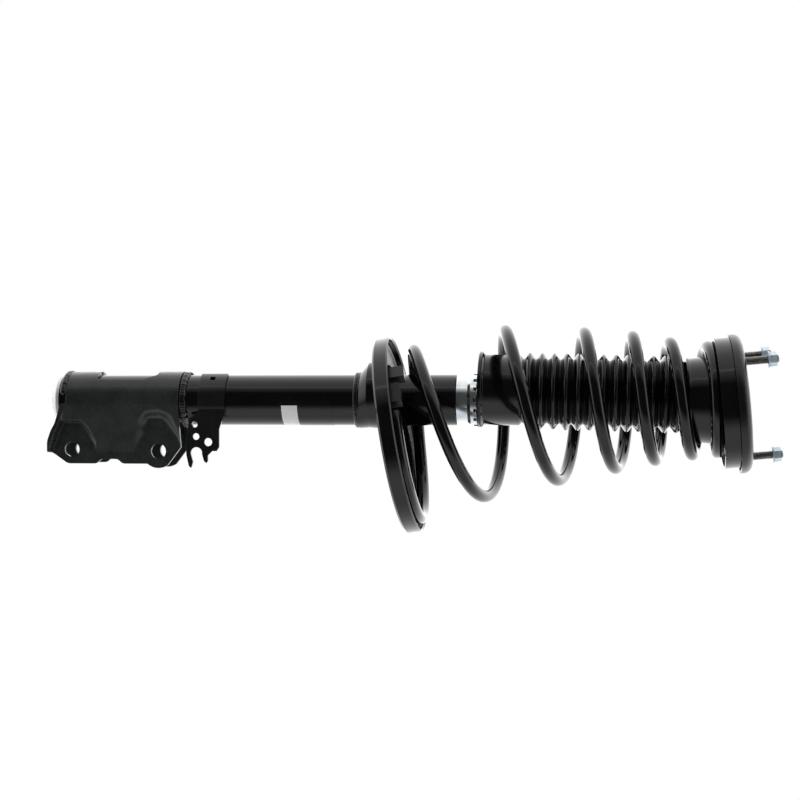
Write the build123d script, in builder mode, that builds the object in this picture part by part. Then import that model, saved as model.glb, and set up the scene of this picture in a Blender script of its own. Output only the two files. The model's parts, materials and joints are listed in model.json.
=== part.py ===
from build123d import *
from math import cos, pi, radians, sin, tan
import os

os.makedirs("parts", exist_ok=True)

# Frame: the origin is the centre of the lower knuckle bolt hole, midway between the ears.
# +Z runs up along the strut, +Y along the knuckle bolts, and +X is where the ears point.

# Strut axis and general fits
axis_x = -50.0  # the strut axis, parallel to Z
seated = 0.02  # gap between pieces pressed or clamped together
running = 0.04  # radial gap between pieces that slide

# Damper tube
tube_r = 25.5
tube_bore_r = 23.0
tube_bottom = -12.0
tube_shoulder = 391.0
neck_r = 23.4
neck_bore_r = 20.6
neck_top = 403.0
lip_r = 15.0
cap_bulge = 14.0

# Knuckle bracket
bolt_r = 7.75
bolt_2_x = 1.6
bolt_2_z = 90.0
sheet = 3.5
ear_outer = 18.5
bracket_bottom = -3.5
bracket_top = 113.0
lobe_r = 17.0

# Brake hose bracket
hose_sheet = 2.5
hose_band_z = (133.0, 160.0)
hose_plate_y = -26.5
hose_hole_r = 4.0
fork_r = 5.8
fork_x = 3.0
fork_z = 131.3

# Lower spring seat: an offset pan, leaning towards -X
seat_tilt = tan(radians(9.4))
seat_x = axis_x + 36.2
seat_z = 325.4
seat_r = 98.7
seat_sheet = 3.0
seat_rim_h = 15.2
seat_pad_top = 8.2

# Coil spring
wire_r = 6.5
coil_first_turn = 0.2
coil_last_turn = 6.6
coil_seat_height = 15.1  # wire centre over the seat's plane
coil_seat_r = 81.0
coil_top_r = 50.6
open_pitch = 81.0
first_rise = 22.0  # extra pitch where the wire leaves the seat
close_pitch = 35.75
points_per_turn = 12

# Bump cap and dust boot
bump_cap_r = 24.9
bump_rim_r = 27.2
bump_rim_z = (405.0, 411.0)
boot_bottom = 412.3
boot_bellows_z = 456.0
boot_pitch = 12.0
boot_folds = 13
boot_top = 645.0
boot_wall = 1.6
boot_shift = 10.6  # the boot's lower end sits this far from the strut axis, towards -X
boot_lean = 6.6 / 233

# Piston rod and valves
rod_r = 10.0
rod_tail_r = 6.0
rod_neck_r = 7.0
cylinder_r = 16.0
cylinder_wall = 1.5
piston_z = (301.0, 315.0)
check_lift = 1.0
check_plate = 0.8
guide_bottom = 352.0
rod_shoulder = 646.0
rod_end = 674.5

# Top mount: its face leans towards -X and -Y
mount_tilt = tan(radians(5.0))
mount_lean = tan(radians(1.6))
mount_x = axis_x + 3.0
mount_z = 672.0
mount_r = 67.9
mount_drop = 11.2
mount_shoulder = 8.5
pan_z = 652.2
pan_r = 64.3
stud_r = 4.0
stud_shank = 20.8
thread_r = 3.6  # pitch radius of the thread, under the nut
stud_knurl_r = 4.4  # pressed in the plate
stud_head_r = 5.8
stud_circle_r = 54.3
stud_circle_x = -1.8
stud_turn = 5.3
stud_spread = 139.7
stud_length = 31.0
nut_base = 21.0
nut_top = 29.0


def leaning_plane(x, z, tilt, lean):
    """A plane whose normal leans towards -X by tilt and towards -Y by lean."""
    return Plane(origin=(x, 0, z), x_dir=(1, 0, tilt), z_dir=(-tilt, -lean, 1))


def section_of(plane):
    """The plane through another plane's normal, for drawing what is turned about it."""
    return Plane(origin=plane.origin, x_dir=plane.x_dir, z_dir=-plane.y_dir)


def normal_of(plane):
    return Axis(plane.origin, plane.z_dir)


strut_section = Plane(origin=(axis_x, 0, 0), x_dir=(1, 0, 0), z_dir=(0, -1, 0))
strut_axis = Axis((axis_x, 0, 0), (0, 0, 1))
seat_plane = leaning_plane(seat_x, seat_z, seat_tilt, 0)
mount_plane = leaning_plane(mount_x, mount_z, mount_tilt, mount_lean)
pan_plane = leaning_plane(mount_x, pan_z, mount_tilt, mount_lean)
stud_angles = (stud_turn, stud_turn + stud_spread, stud_turn - stud_spread)
stud_places = [
    (stud_circle_x + stud_circle_r * cos(radians(angle)), stud_circle_r * sin(radians(angle)))
    for angle in stud_angles
]


def ring(inner, outer, low, high):
    """A turned ring on the strut axis."""
    with BuildPart() as solid:
        with BuildSketch(Plane.XY.offset(low).move(Location((axis_x, 0, 0)))):
            Circle(outer)
            if inner:
                Circle(inner, mode=Mode.SUBTRACT)
        extrude(amount=high - low)
    return solid.part


def turned(points, section=strut_section, axis=strut_axis):
    """A solid turned from a closed outline of (radius, height) points."""
    with BuildPart() as solid:
        with BuildSketch(section):
            with BuildLine():
                Polyline(*points, close=True)
            make_face()
        revolve(axis=axis)
    return solid.part


# --- Damper tube and its ends ---

with BuildPart() as outer_tube:
    add(
        turned(
            [
                (tube_bore_r, tube_bottom),
                (tube_r, tube_bottom),
                (tube_r, tube_shoulder - 0.8),
                (tube_r - 0.8, tube_shoulder),
                (neck_r, tube_shoulder),
                (neck_r, neck_top - 1.5),
                (neck_r - 1.5, neck_top),
                (lip_r, neck_top),
                (lip_r, neck_top - 2.4),
                (neck_bore_r, neck_top - 2.4),
                (neck_bore_r, tube_shoulder - 2.5),
                (tube_bore_r, tube_shoulder - 4),
            ]
        )
    )
outer_tube.part.label = "outer_tube"
export_step(outer_tube.part, "parts/outer_tube.step")

cap_edge = tube_bottom - 3
cap_tip = tube_bottom - cap_bulge
dome_r = (tube_r**2 + (cap_edge - cap_tip) ** 2) / (2 * (cap_edge - cap_tip))


def dome_point(radius, sphere_r):
    """A point of a sphere centred over the cap's tip, as (radius, height)."""
    return (radius, cap_tip + dome_r - (sphere_r**2 - radius**2) ** 0.5)


with BuildPart() as base_cap:
    inner_r = tube_bore_r - 3
    inner_dome = dome_r - 3
    with BuildSketch(strut_section):
        with BuildLine():
            ThreePointArc(
                dome_point(tube_r, dome_r), dome_point(tube_r / 2, dome_r), dome_point(0, dome_r)
            )
            Line(dome_point(0, dome_r), dome_point(0, inner_dome))
            ThreePointArc(
                dome_point(0, inner_dome),
                dome_point(inner_r / 2, inner_dome),
                dome_point(inner_r, inner_dome),
            )
            Polyline(
                dome_point(inner_r, inner_dome),
                (inner_r, tube_bottom + 8),
                (tube_bore_r - seated, tube_bottom + 8),
                (tube_bore_r - seated, tube_bottom - seated),
                (tube_r, tube_bottom - seated),
                dome_point(tube_r, dome_r),
            )
        make_face()
    revolve(axis=strut_axis)
base_cap.part.label = "base_cap"
export_step(base_cap.part, "parts/base_cap.step")

# --- Knuckle bracket: one pressed sheet, wrapped round the tube and ending in two ears ---

wrap_in = tube_r + seated
wrap_out = tube_r + sheet
ear_end = 24.0


def bracket_outline(ear_top, ear_bottom):
    """The sheet cut across the strut, with its ears' outer faces this far from centre."""
    out_x = axis_x + (wrap_out**2 - ear_top**2) ** 0.5
    in_x = axis_x + (wrap_in**2 - (ear_top - sheet) ** 2) ** 0.5
    outer_top = (out_x, ear_top)
    outer_end = (ear_end, ear_bottom)
    inner_end = (ear_end, ear_bottom - sheet)
    inner_top = (in_x, ear_top - sheet)
    corners = [outer_top, outer_end, inner_end, inner_top]
    mirrored = [(x, -y) for x, y in reversed(corners)]
    with BuildLine() as line:
        Polyline(*corners)
        ThreePointArc(inner_top, (axis_x - wrap_in, 0), mirrored[0])
        Polyline(*mirrored)
        ThreePointArc(mirrored[-1], (axis_x - wrap_out, 0), outer_top)
    return line.line


pad = (ear_outer, ear_outer)
side = (28.3, ear_outer)
bracket_stations = [
    (-26.0, (28.3, 28.3)),
    (-14.0, side),
    (-9.5, pad),
    (14.0, pad),
    (22.0, side),
    (64.0, side),
    (72.0, pad),
    (108.0, pad),
    (116.0, side),
]

with BuildPart() as knuckle_bracket:
    for height, shape in bracket_stations:
        with BuildSketch(Plane.XY.offset(height)):
            with BuildLine():
                add(bracket_outline(*shape))
            make_face()
    loft(ruled=True)
    with BuildSketch(Plane.XY.offset(-30)):
        with Locations((axis_x, 0)):
            Circle(wrap_in)
    extrude(amount=160, mode=Mode.SUBTRACT)
    # Side view of the ears
    with BuildSketch(Plane.XZ.offset(-60)):
        with BuildLine():
            Polyline(
                (-90, bracket_bottom),
                (-47, bracket_bottom),
                (-44, -11),
                (-32, -13.5),
                (-12, -22.5),
                (3, -22.5),
                (14.3, -4.5),
                (14.3, 26),
                (9.7, 30),
                (9.7, 48),
                (14.3, 52.5),
                (14.3, 78.6),
            )
            ThreePointArc((14.3, 78.6), (bolt_2_x + lobe_r, bolt_2_z), (15.6, 99.6))
            Polyline(
                (15.6, 99.6),
                (-2.2, bracket_top),
                (-90, bracket_top),
                (-90, bracket_bottom),
            )
        make_face()
    extrude(amount=120, mode=Mode.INTERSECT)
    # Bolt holes through both ears
    with BuildSketch(Plane.XZ.offset(-60)):
        Circle(bolt_r)
        with Locations((bolt_2_x, bolt_2_z)):
            Circle(bolt_r)
    extrude(amount=120, mode=Mode.SUBTRACT)
    # Window at the back of the wrap
    with BuildSketch(Plane.YZ.offset(-90)):
        with BuildLine():
            Polyline((-20, 26), (20, 26), (20, 76), (14, 88), (-14, 88), (-20, 76), close=True)
        make_face()
        with Locations((0, 22)):
            Circle(4.5)
    extrude(amount=25, mode=Mode.SUBTRACT)
knuckle_bracket.part.label = "knuckle_bracket"
export_step(knuckle_bracket.part, "parts/knuckle_bracket.step")

with BuildPart() as bracket_weld:
    add(
        turned(
            [
                (tube_r + seated, bracket_top + seated),
                (wrap_out - 0.6, bracket_top + seated),
                (wrap_out - 1.4, bracket_top + 3.2),
                (tube_r + seated, bracket_top + 5.5),
            ]
        )
    )
    add(
        turned(
            [
                (tube_r + seated, bracket_bottom - seated),
                (wrap_out + 1.5, bracket_bottom - seated),
                (wrap_out + 1, bracket_bottom - 2.5),
                (tube_r + 1.2, tube_bottom),
                (tube_r + seated, tube_bottom),
            ]
        )
    )
    # The lower bead stops where the ears' flanges begin
    with BuildSketch(Plane.XY.offset(tube_bottom - 1)):
        with Locations((axis_x + 40, 0)):
            Rectangle(76, 90)
    extrude(amount=bracket_bottom - tube_bottom + 2, mode=Mode.SUBTRACT)
bracket_weld.part.label = "bracket_weld"
export_step(bracket_weld.part, "parts/bracket_weld.step")

# --- Brake hose bracket: a band on the tube and a flat forked plate ---

with BuildPart() as brake_hose_bracket:
    low, high = hose_band_z
    fork_w = (fork_r**2 - 1) ** 0.5
    with BuildSketch(Plane.XY.offset(low)):
        with Locations((axis_x, 0)):
            Circle(tube_r + hose_sheet)
            Circle(tube_r + seated, mode=Mode.SUBTRACT)
        with BuildLine():
            Polyline(
                (axis_x, 0),
                (axis_x - 30, -10),
                (axis_x - 30, -40),
                (axis_x + 14, -40),
                (axis_x + 14, -20),
                close=True,
            )
        make_face(mode=Mode.INTERSECT)
    extrude(amount=high - low)
    with BuildSketch(Plane.XZ.offset(-hose_plate_y)):
        with BuildLine():
            Polyline(
                (-46, low),
                (-36, low),
                (-32, 123.5),
                (-21, 122.5),
                (-9, 120.6),
                (5, 121),
                (16, 123.5),
                (18, 126),
                (12, 127.8),
                (fork_x + 1, fork_z - fork_w),
            )
            ThreePointArc(
                (fork_x + 1, fork_z - fork_w), (fork_x - fork_r, fork_z), (fork_x + 1, fork_z + fork_w)
            )
            Polyline(
                (fork_x + 1, fork_z + fork_w),
                (11, 139),
                (13, 141.5),
                (11, 143),
                (5.5, 143),
                (1, 147.5),
                (1, 152),
                (-3, 154.5),
                (-21, 154.5),
                (-37, high),
                (-46, high),
                (-46, low),
            )
        make_face()
        with Locations((-25.5, 129.5)):
            Circle(3.0, mode=Mode.SUBTRACT)
        with Locations((-13.5, 131)):
            Circle(3.3, mode=Mode.SUBTRACT)
        with Locations((-8, 143.4)):
            Circle(hose_hole_r, mode=Mode.SUBTRACT)
    extrude(amount=-hose_sheet)
    with BuildSketch(Plane.XY.offset(low - 20)):
        with Locations((axis_x, 0)):
            Circle(tube_r + seated)
    extrude(amount=60, mode=Mode.SUBTRACT)
    # Small square window near the band's end
    with BuildSketch(Plane.XZ):
        with Locations((axis_x - 21.5, 146)):
            Rectangle(3.2, 5.5)
    extrude(amount=40, mode=Mode.SUBTRACT)
brake_hose_bracket.part.label = "brake_hose_bracket"
export_step(brake_hose_bracket.part, "parts/brake_hose_bracket.step")

with BuildPart() as tube_label:
    with BuildSketch(Plane.XY.offset(216)):
        with Locations((axis_x, 0)):
            Circle(tube_r + 0.2)
            Circle(tube_r + 0.01, mode=Mode.SUBTRACT)
        with BuildLine():
            Polyline(
                (axis_x, 0),
                (axis_x + 3, -40),
                (axis_x + 40, -40),
                (axis_x + 40, 12),
                close=True,
            )
        make_face(mode=Mode.INTERSECT)
    extrude(amount=51)
tube_label.part.label = "tube_label"
export_step(tube_label.part, "parts/tube_label.step")

# --- Lower spring seat: neck on the tube, and the pan with its rim ---

neck_foot = 293.0
neck_top_z = 303.0
neck_wide_r = 33.0
neck_mouth_r = 36.0
neck_shift = -5.0  # the neck widens towards -X
axis_on_seat = (axis_x - seat_x) * (1 + seat_tilt**2) ** 0.5


def neck_shape(low, low_r, thinner, high):
    """A cone off the tube up to neck_top_z, and on to this height over the seat's plane."""
    with BuildPart() as shape:
        with BuildSketch(Plane.XY.offset(low)):
            with Locations((axis_x, 0)):
                Circle(low_r)
        with BuildSketch(Plane.XY.offset(neck_top_z)):
            with Locations((axis_x + neck_shift, 0)):
                Circle(neck_wide_r - thinner)
        loft()
        with BuildSketch(Plane.XY.offset(neck_top_z)):
            with Locations((axis_x + neck_shift, 0)):
                Circle(neck_wide_r - thinner)
        with BuildSketch(seat_plane.offset(high)):
            with Locations((axis_on_seat + neck_shift, 0)):
                Circle(neck_mouth_r - thinner)
        loft()
    return shape.part


with BuildPart() as lower_spring_seat:
    add(
        turned(
            [
                (0, 0),
                (seat_r - 2, 0),
                (seat_r, 2),
                (seat_r, seat_rim_h - 1.5),
                (seat_r - 1.5, seat_rim_h),
                (seat_r - seat_sheet, seat_rim_h - 1.5),
                (seat_r - seat_sheet, seat_sheet),
                (0, seat_sheet),
            ],
            section_of(seat_plane),
            normal_of(seat_plane),
        )
    )
    add(ring(tube_r + seated, tube_r + seat_sheet, neck_foot, neck_foot + 2))
    add(neck_shape(neck_foot + 2, tube_r + seat_sheet, 0, seat_sheet))
    add(neck_shape(neck_foot + 4, tube_r, seat_sheet, seat_sheet + 0.1), mode=Mode.SUBTRACT)
    with BuildSketch(Plane.XY.offset(neck_foot - 5)):
        with Locations((axis_x, 0)):
            Circle(tube_r + seated)
    extrude(amount=80, mode=Mode.SUBTRACT)
lower_spring_seat.part.label = "lower_spring_seat"
export_step(lower_spring_seat.part, "parts/lower_spring_seat.step")

with BuildPart() as seat_weld:
    add(
        turned(
            [
                (tube_r + seated, neck_foot - 4.5),
                (tube_r + seat_sheet - 0.6, neck_foot - 1.8),
                (tube_r + seat_sheet - 0.2, neck_foot - seated),
                (tube_r + seated, neck_foot - seated),
            ]
        )
    )
seat_weld.part.label = "seat_weld"
export_step(seat_weld.part, "parts/seat_weld.step")

stop_r = 84.0
stop_turn = 47.0

with BuildPart() as lower_spring_insulator:
    add(
        turned(
            [
                (71, seat_sheet + 0.05),
                (94.5, seat_sheet + 0.05),
                (94.5, seat_pad_top + 0.8),
                (91.5, seat_pad_top + 0.8),
                (90, seat_pad_top),
                (71, seat_pad_top),
            ],
            section_of(seat_plane),
            normal_of(seat_plane),
        )
    )
    # Stop block at the wire's end, with a lower step towards the wire
    with BuildSketch(seat_plane.offset(seat_pad_top - 1)):
        with Locations(
            (-stop_r * cos(radians(stop_turn)), -stop_r * sin(radians(stop_turn)))
        ):
            Rectangle(14, 10, rotation=stop_turn - 90)
    extrude(amount=22)
    with BuildSketch(seat_plane.offset(seat_pad_top - 1)):
        with Locations(
            (-stop_r * cos(radians(stop_turn + 16)), -stop_r * sin(radians(stop_turn + 16)))
        ):
            Rectangle(20, 12, rotation=stop_turn + 16 - 90)
    extrude(amount=17)
lower_spring_insulator.part.label = "lower_spring_insulator"
export_step(lower_spring_insulator.part, "parts/lower_spring_insulator.step")


# --- Coil spring: side-load conical coil, open pitch below and close pitch above ---


def half_cosine(turn, start, end):
    """Falls smoothly from 1 at start to 0 at end."""
    share = min(max((turn - start) / (end - start), 0), 1)
    return (1 + cos(pi * share)) / 2


def mix(low, high, share):
    return low + (high - low) * share


def coil_pitch(turn):
    pitch = mix(close_pitch, open_pitch, half_cosine(turn, 1.8, 4.25))
    pitch += first_rise * half_cosine(turn, 1.0, 1.3)
    return pitch * (1 - half_cosine(turn, 0.68, 0.88)) * half_cosine(turn, 6.0, 6.3)


def coil_point(turn, height):
    """Wire centre at a turn, where height is that of the turn's own centre."""
    on_seat = half_cosine(turn, 0.6, 1.0)
    radius = mix(coil_top_r, coil_seat_r, half_cosine(turn, 0.3, 6.75))
    free_shift = 34.5 * half_cosine(turn, 0.3, 2.2) + 6.3 * half_cosine(turn, 2.2, 3.9)
    shift = mix(free_shift, seat_x - axis_x, on_seat)
    free_tilt = tan(radians(2.2 + 9.8 * half_cosine(turn, 0.6, 3.4)))
    free_lean = tan(radians(2.7 + 1.5 * half_cosine(turn, 3.0, 6.5)))
    x = -radius * cos(2 * pi * turn)
    y = -radius * sin(2 * pi * turn)
    z = height + x * mix(free_tilt, seat_tilt, on_seat) + y * mix(free_lean, 0, on_seat)
    return (axis_x + shift + x, y, z)


def coil_centreline():
    steps = round((coil_last_turn - coil_first_turn) * points_per_turn)
    step = (coil_last_turn - coil_first_turn) / steps
    height = seat_z + coil_seat_height
    points = []
    for i in range(steps + 1):
        turn = coil_first_turn + i * step
        points.append(coil_point(turn, height))
        height += coil_pitch(turn + step / 2) * step
    return points


with BuildPart() as coil_spring:
    with BuildLine() as wire:
        Spline(*coil_centreline())
    with BuildSketch(Plane(origin=wire.line @ 0, z_dir=wire.line % 0)):
        Circle(wire_r)
    sweep()
coil_spring.part.label = "coil_spring"
export_step(coil_spring.part, "parts/coil_spring.step")

# --- Bump cap on the tube's neck ---

with BuildPart() as bump_cap:
    rim_low, rim_high = bump_rim_z
    add(
        turned(
            [
                (neck_r + seated, tube_shoulder + 0.1),
                (bump_cap_r, tube_shoulder + 0.1),
                (bump_cap_r, rim_low - 3),
                (bump_rim_r, rim_low),
                (bump_rim_r, rim_high),
                (bump_rim_r - 3, rim_high),
                (bump_rim_r - 4, rim_low + 1),
                (12, rim_low + 1),
                (12, neck_top + seated),
                (neck_r + seated, neck_top + seated),
            ]
        )
    )
    # Slots across the rim that let air out under the bumper
    with BuildSketch(Plane.XY.offset(rim_high - 3)):
        with Locations((axis_x, 0)):
            with PolarLocations(bump_rim_r, 16):
                Rectangle(12, 4)
    extrude(amount=4, mode=Mode.SUBTRACT)
bump_cap.part.label = "bump_cap"
export_step(bump_cap.part, "parts/bump_cap.step")

# --- Inside the tube: cylinder, base valve, guide and seal ---

cylinder_bottom = 6.0
guide_seat = 360.0

with BuildPart() as inner_cylinder:
    add(ring(cylinder_r, cylinder_r + cylinder_wall, cylinder_bottom, guide_seat - seated))
inner_cylinder.part.label = "inner_cylinder"
export_step(inner_cylinder.part, "parts/inner_cylinder.step")

with BuildPart() as base_valve_body:
    add(ring(3, 19.8, -4 + seated, cylinder_bottom - seated))
    add(ring(3, cylinder_r - seated, cylinder_bottom - seated, 14))
    with BuildSketch(Plane.XY.offset(-5)):
        with Locations((axis_x, 0)):
            with PolarLocations(9.5, 6):
                Circle(1.6)
            with PolarLocations(20, 6, start_angle=30):
                Circle(2.2)
    extrude(amount=24, mode=Mode.SUBTRACT)
base_valve_body.part.label = "base_valve_body"
export_step(base_valve_body.part, "parts/base_valve_body.step")

check_bore_r = 3.0
base_plate_low = 14.05
pin_stop_z = base_plate_low + check_plate + check_lift + 0.3

with BuildPart() as base_valve_pin:
    add(ring(0, check_bore_r - seated, -5, pin_stop_z))
    add(ring(0, 6, -6.5, -4))
    add(ring(0, 6, pin_stop_z, pin_stop_z + 2))
base_valve_pin.part.label = "base_valve_pin"
export_step(base_valve_pin.part, "parts/base_valve_pin.step")

with BuildPart() as base_check_plate:
    add(ring(check_bore_r + running, 13, base_plate_low, base_plate_low + check_plate))
base_check_plate.part.label = "base_check_plate"
export_step(base_check_plate.part, "parts/base_check_plate.step")

with BuildPart() as rod_guide:
    add(
        turned(
            [
                (rod_r + 1.6, guide_bottom + 1),
                (cylinder_r - seated, guide_bottom + 1),
                (cylinder_r - seated, guide_seat),
                (tube_bore_r - seated, guide_seat),
                (tube_bore_r - seated, tube_shoulder - 4.2),
                (neck_bore_r - seated, tube_shoulder - 2.7),
                (neck_bore_r - seated, tube_shoulder + 2),
                (rod_r + 1.6, tube_shoulder + 2),
            ]
        )
    )
rod_guide.part.label = "rod_guide"
export_step(rod_guide.part, "parts/rod_guide.step")

with BuildPart() as rod_guide_bush:
    add(ring(rod_r + running, rod_r + 1.6 - seated, guide_bottom + 1, tube_shoulder + 2))
rod_guide_bush.part.label = "rod_guide_bush"
export_step(rod_guide_bush.part, "parts/rod_guide_bush.step")

with BuildPart() as oil_seal:
    add(
        turned(
            [
                (rod_r + running, tube_shoulder + 2.2),
                (neck_bore_r - seated, tube_shoulder + 2.2),
                (neck_bore_r - seated, neck_top - 2.4 - seated),
                (14.5, neck_top - 2.4 - seated),
                (14, neck_top - 0.5),
                (rod_r + running, neck_top - 0.5),
                (rod_r + running, neck_top - 3),
                (12.5, neck_top - 5),
                (12.5, tube_shoulder + 5.5),
                (rod_r + running, tube_shoulder + 4),
            ]
        )
    )
oil_seal.part.label = "oil_seal"
export_step(oil_seal.part, "parts/oil_seal.step")

# --- Piston rod and what rides on it ---

piston_low, piston_high = piston_z
plate_low = piston_high + 0.05
rod_step = plate_low + check_plate + check_lift + 0.3

with BuildPart() as piston_rod:
    add(
        turned(
            [
                (0, piston_low - 12.5),
                (rod_tail_r - 1, piston_low - 12.5),
                (rod_tail_r, piston_low - 11.5),
                (rod_tail_r, piston_high),
                (rod_neck_r, piston_high),
                (rod_neck_r, rod_step),
                (rod_r, rod_step),
                (rod_r, rod_shoulder),
                (rod_neck_r, rod_shoulder),
                (rod_neck_r, rod_end - 1),
                (rod_neck_r - 1, rod_end),
                (0, rod_end),
            ]
        )
    )
piston_rod.part.label = "piston_rod"
export_step(piston_rod.part, "parts/piston_rod.step")

with BuildPart() as piston:
    add(
        turned(
            [
                (rod_tail_r + seated, piston_low),
                (15.2, piston_low),
                (15.2, piston_low + 3),
                (14.2, piston_low + 3),
                (14.2, piston_high - 3),
                (15.2, piston_high - 3),
                (15.2, piston_high - seated),
                (rod_tail_r + seated, piston_high - seated),
            ]
        )
    )
    with BuildSketch(Plane.XY.offset(piston_low - 1)):
        with Locations((axis_x, 0)):
            with PolarLocations(11.5, 6):
                Circle(1.4)
            with PolarLocations(8.8, 6, start_angle=30):
                Circle(1.1)
    extrude(amount=16, mode=Mode.SUBTRACT)
piston.part.label = "piston"
export_step(piston.part, "parts/piston.step")

with BuildPart() as piston_ring:
    add(ring(14.2 + seated, cylinder_r - running, piston_low + 3.05, piston_high - 3.05))
piston_ring.part.label = "piston_ring"
export_step(piston_ring.part, "parts/piston_ring.step")

with BuildPart() as piston_check_plate:
    add(ring(rod_neck_r + running, 14, plate_low, plate_low + check_plate))
piston_check_plate.part.label = "piston_check_plate"
export_step(piston_check_plate.part, "parts/piston_check_plate.step")

shim = 0.4

with BuildPart() as piston_shims:
    for i, radius in enumerate((10.4, 9.8, 9.0, 8.2)):
        shim_top = piston_low - seated - i * (shim + seated)
        add(ring(rod_tail_r + seated, radius, shim_top - shim, shim_top))
piston_shims.part.label = "piston_shims"
export_step(piston_shims.part, "parts/piston_shims.step")

nut_seat = piston_low - 4 * (shim + seated) - 2 * seated

with BuildPart() as piston_nut:
    with BuildSketch(Plane.XY.offset(nut_seat - 8)):
        with Locations((axis_x, 0)):
            RegularPolygon(8.5, 6, major_radius=False)
            Circle(rod_tail_r + seated, mode=Mode.SUBTRACT)
    extrude(amount=8)
piston_nut.part.label = "piston_nut"
export_step(piston_nut.part, "parts/piston_nut.step")

with BuildPart() as rebound_stop:
    add(ring(rod_r + seated, 14, guide_bottom - 13, guide_bottom - 7))
rebound_stop.part.label = "rebound_stop"
export_step(rebound_stop.part, "parts/rebound_stop.step")

with BuildPart() as rebound_cushion:
    add(ring(rod_r + 0.3, 14.5, guide_bottom - 6.95, guide_bottom + 0.9))
rebound_cushion.part.label = "rebound_cushion"
export_step(rebound_cushion.part, "parts/rebound_cushion.step")

bumper_low = 583.0
bumper_high = rod_shoulder - 6

with BuildPart() as jounce_bumper:
    with BuildSketch(strut_section):
        with BuildLine():
            Spline(
                (13, bumper_low),
                (17, bumper_low + 6),
                (17.5, bumper_low + 12),
                (14.5, bumper_low + 17),
                (19.5, bumper_low + 27),
                (16.5, bumper_low + 36),
                (21.5, bumper_high - 6),
            )
            Polyline(
                (21.5, bumper_high - 6),
                (21.5, bumper_high),
                (rod_r + 0.3, bumper_high),
                (rod_r + 0.3, bumper_low),
                (13, bumper_low),
            )
        make_face()
    revolve(axis=strut_axis)
jounce_bumper.part.label = "jounce_bumper"
export_step(jounce_bumper.part, "parts/jounce_bumper.step")

with BuildPart() as rod_washer:
    add(
        turned(
            [
                (rod_neck_r + seated, rod_shoulder + seated),
                (21.8, rod_shoulder + seated),
                (21.8, rod_shoulder - 8),
                (23.8, rod_shoulder - 8),
                (23.8, rod_shoulder + 2.5),
                (rod_neck_r + seated, rod_shoulder + 2.5),
            ]
        )
    )
rod_washer.part.label = "rod_washer"
export_step(rod_washer.part, "parts/rod_washer.step")

boot_plane = Plane(
    origin=(axis_x - boot_shift, 0, boot_bottom), x_dir=(1, 0, -boot_lean), z_dir=(boot_lean, 0, 1)
)

with BuildPart() as dust_boot:
    collar_h = boot_bellows_z - boot_bottom
    outline = [(38, 0), (38, 3.5), (35, 5), (35, collar_h - 3)]
    for i in range(boot_folds):
        fold = collar_h + i * boot_pitch
        outline.append((32, fold + 1))
        outline.append((38.3, fold + boot_pitch / 2 + 1))
    fold_end = collar_h + boot_folds * boot_pitch
    outline += [(31.5, fold_end + 1), (32.5, fold_end + 4), (32.5, boot_top - boot_bottom)]
    inline = [(radius - boot_wall, height) for radius, height in reversed(outline)]
    with BuildSketch(section_of(boot_plane)):
        with BuildLine():
            Polyline(*outline, *inline, close=True)
        make_face()
    revolve(axis=normal_of(boot_plane))
dust_boot.part.label = "dust_boot"
export_step(dust_boot.part, "parts/dust_boot.step")

# --- Upper spring seat and top mount ---

hub_r = 41.0
hub_top_r = 44.0
hub_low = 613.6
hub_sheet = 2.5
boss_z = rod_shoulder + 2.5 + seated

with BuildPart() as upper_spring_seat:
    add(
        turned(
            [
                (hub_r - hub_sheet, hub_low),
                (hub_r, hub_low),
                (hub_r + 0.6, hub_low + 2),
                (hub_r, hub_low + 4),
                (hub_top_r, boss_z - 4),
                (hub_top_r, boss_z + 20),
                (hub_top_r - hub_sheet, boss_z + 20),
                (hub_top_r - hub_sheet, boss_z - 4),
                (hub_r - hub_sheet, hub_low + 4),
            ]
        )
    )
    split(bisect_by=pan_plane.offset(hub_sheet), keep=Keep.BOTTOM)
    add(
        turned(
            [
                (hub_top_r - 2, 0),
                (pan_r - hub_sheet, 0),
                (pan_r - hub_sheet, -6.5),
                (pan_r, -6.5),
                (pan_r, 8.1),
                (pan_r - hub_sheet, 8.1),
                (pan_r - hub_sheet, hub_sheet),
                (hub_top_r - 2, hub_sheet),
            ],
            section_of(pan_plane),
            normal_of(pan_plane),
        )
    )
    with BuildSketch(Plane.XY.offset(boss_z - 3)):
        with Locations((axis_x, 0)):
            Circle(hub_top_r - hub_sheet)
    extrude(amount=30, mode=Mode.SUBTRACT)
    add(ring(rod_neck_r + 0.3, hub_top_r - hub_sheet + 0.5, boss_z, boss_z + hub_sheet))
upper_spring_seat.part.label = "upper_spring_seat"
export_step(upper_spring_seat.part, "parts/upper_spring_seat.step")

pad_sheet = 3.2

with BuildPart() as upper_spring_insulator:
    add(
        turned(
            [
                (49, -pad_sheet),
                (pan_r - hub_sheet - 0.3, -pad_sheet),
                (pan_r - hub_sheet - 0.3, -0.05),
                (49, -0.05),
            ],
            section_of(pan_plane),
            normal_of(pan_plane),
        )
    )
upper_spring_insulator.part.label = "upper_spring_insulator"
export_step(upper_spring_insulator.part, "parts/upper_spring_insulator.step")

plate_sheet = 3.0
cup_r = 30.0
cup_depth = 14.0

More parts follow.
